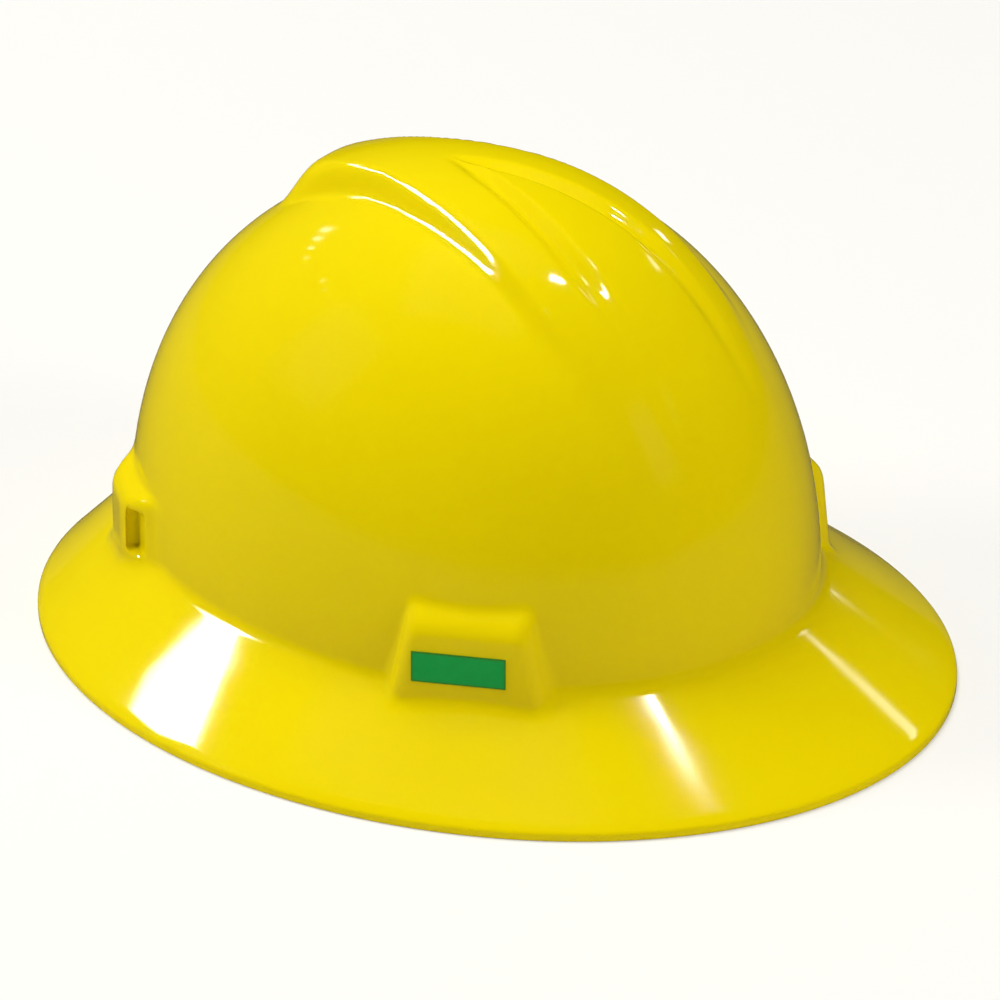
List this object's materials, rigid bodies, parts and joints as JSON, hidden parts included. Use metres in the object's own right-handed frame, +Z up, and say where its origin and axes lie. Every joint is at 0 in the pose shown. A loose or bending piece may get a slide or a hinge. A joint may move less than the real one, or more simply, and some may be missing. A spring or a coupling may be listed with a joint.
{
  "type": "full brim hard hat",
  "caption": "Full brim hard hat with a crested shell, hollow lugs and a strap suspension whose ratchet knob tightens the headband.",
  "frame": {"origin": "middle of the brim in plan, on the plane that the brim's rim rests on", "axes": "+X towards the front of the hat, +Y towards the wearer's left, +Z up through the crown"},
  "size_m": [0.314, 0.26, 0.1631],
  "materials": {
    "shell_plastic": "glossy injection moulded polyethylene",
    "label_film": "printed vinyl film",
    "key_plastic": "moulded nylon",
    "band_plastic": "moulded polyethylene band",
    "webbing": "woven polyester webbing",
    "pad_fabric": "terry faced foam",
    "ratchet_plastic": "moulded acetal",
    "grip_rubber": "moulded thermoplastic rubber",
    "zinc_steel": "zinc plated"
  },
  "bodies": {
    "hat": {"shell": "shell_plastic", "blank_label": "label_film", "front_left_key": "key_plastic", "front_right_key": "key_plastic", "rear_left_key": "key_plastic", "rear_right_key": "key_plastic", "lower_crown_strap": "webbing", "upper_crown_strap": "webbing", "strap_rivets": "zinc_steel", "headband": "band_plastic", "headband_pegs": "key_plastic", "brow_pad": "pad_fabric", "ratchet_backplate": "ratchet_plastic", "ratchet_cover": "ratchet_plastic", "case_screws": "zinc_steel"},
    "knob": {"ratchet_pinion": "ratchet_plastic", "click_spring": "ratchet_plastic", "ratchet_knob": "ratchet_plastic", "knob_grip": "grip_rubber", "knob_screw": "zinc_steel"},
    "left_strap": {"left_rack_strap": "band_plastic"},
    "right_strap": {"right_rack_strap": "band_plastic"}
  },
  "joints": [
    {"name": "knob_turn", "type": "hinge", "parent": "hat", "child": "knob", "pos_m": [-0.1, 0, 0.018], "axis": [1, 0, 0], "range_deg": [-165, 165]},
    {"name": "left_strap_slide", "type": "hinge", "parent": "hat", "child": "left_strap", "pos_m": [-0.022, 0, 0.018], "axis": [0, 0, 1], "range_deg": [-11.5, 11.5]},
    {"name": "right_strap_slide", "type": "hinge", "parent": "hat", "child": "right_strap", "pos_m": [-0.022, 0, 0.018], "axis": [0, 0, 1], "range_deg": [-11.5, 11.5]}
  ],
  "couplings": [
    {"joint": "left_strap_slide", "follows": "knob_turn", "ratio": 0.068441},
    {"joint": "right_strap_slide", "follows": "knob_turn", "ratio": -0.066832}
  ]
}
